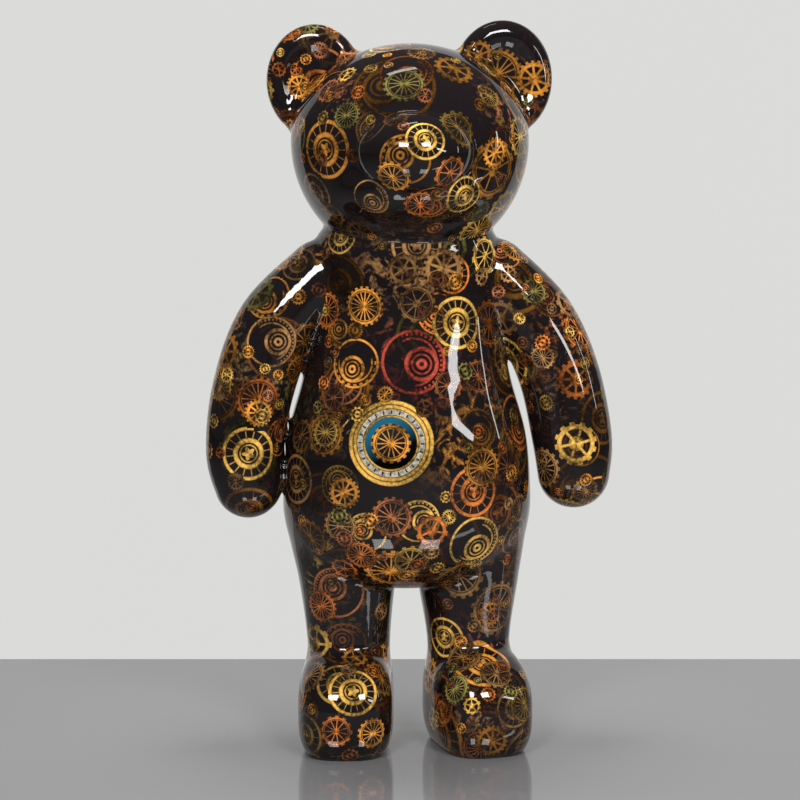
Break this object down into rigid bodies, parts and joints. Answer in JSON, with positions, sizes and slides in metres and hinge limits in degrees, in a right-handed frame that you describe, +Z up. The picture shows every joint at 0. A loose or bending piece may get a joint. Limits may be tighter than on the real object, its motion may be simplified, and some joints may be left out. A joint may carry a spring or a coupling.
{
  "type": "teddy bear sculpture",
  "caption": "Standing teddy bear sculpture with round dished ears, blunt muzzle, hanging arms and broad flat-soled feet, glossy and printed all over with clockwork.",
  "frame": {"origin": "on the floor, under the middle of the figure's bounding box", "axes": "+Z up, the face and the toes point towards -Y, +X is the viewer's right"},
  "size_m": [0.5604, 0.344, 0.9995],
  "materials": {
    "skin": "high gloss clear lacquer over a dark all-over print"
  },
  "bodies": {
    "root": {"teddy_bear": "skin"}
  },
  "joints": []
}
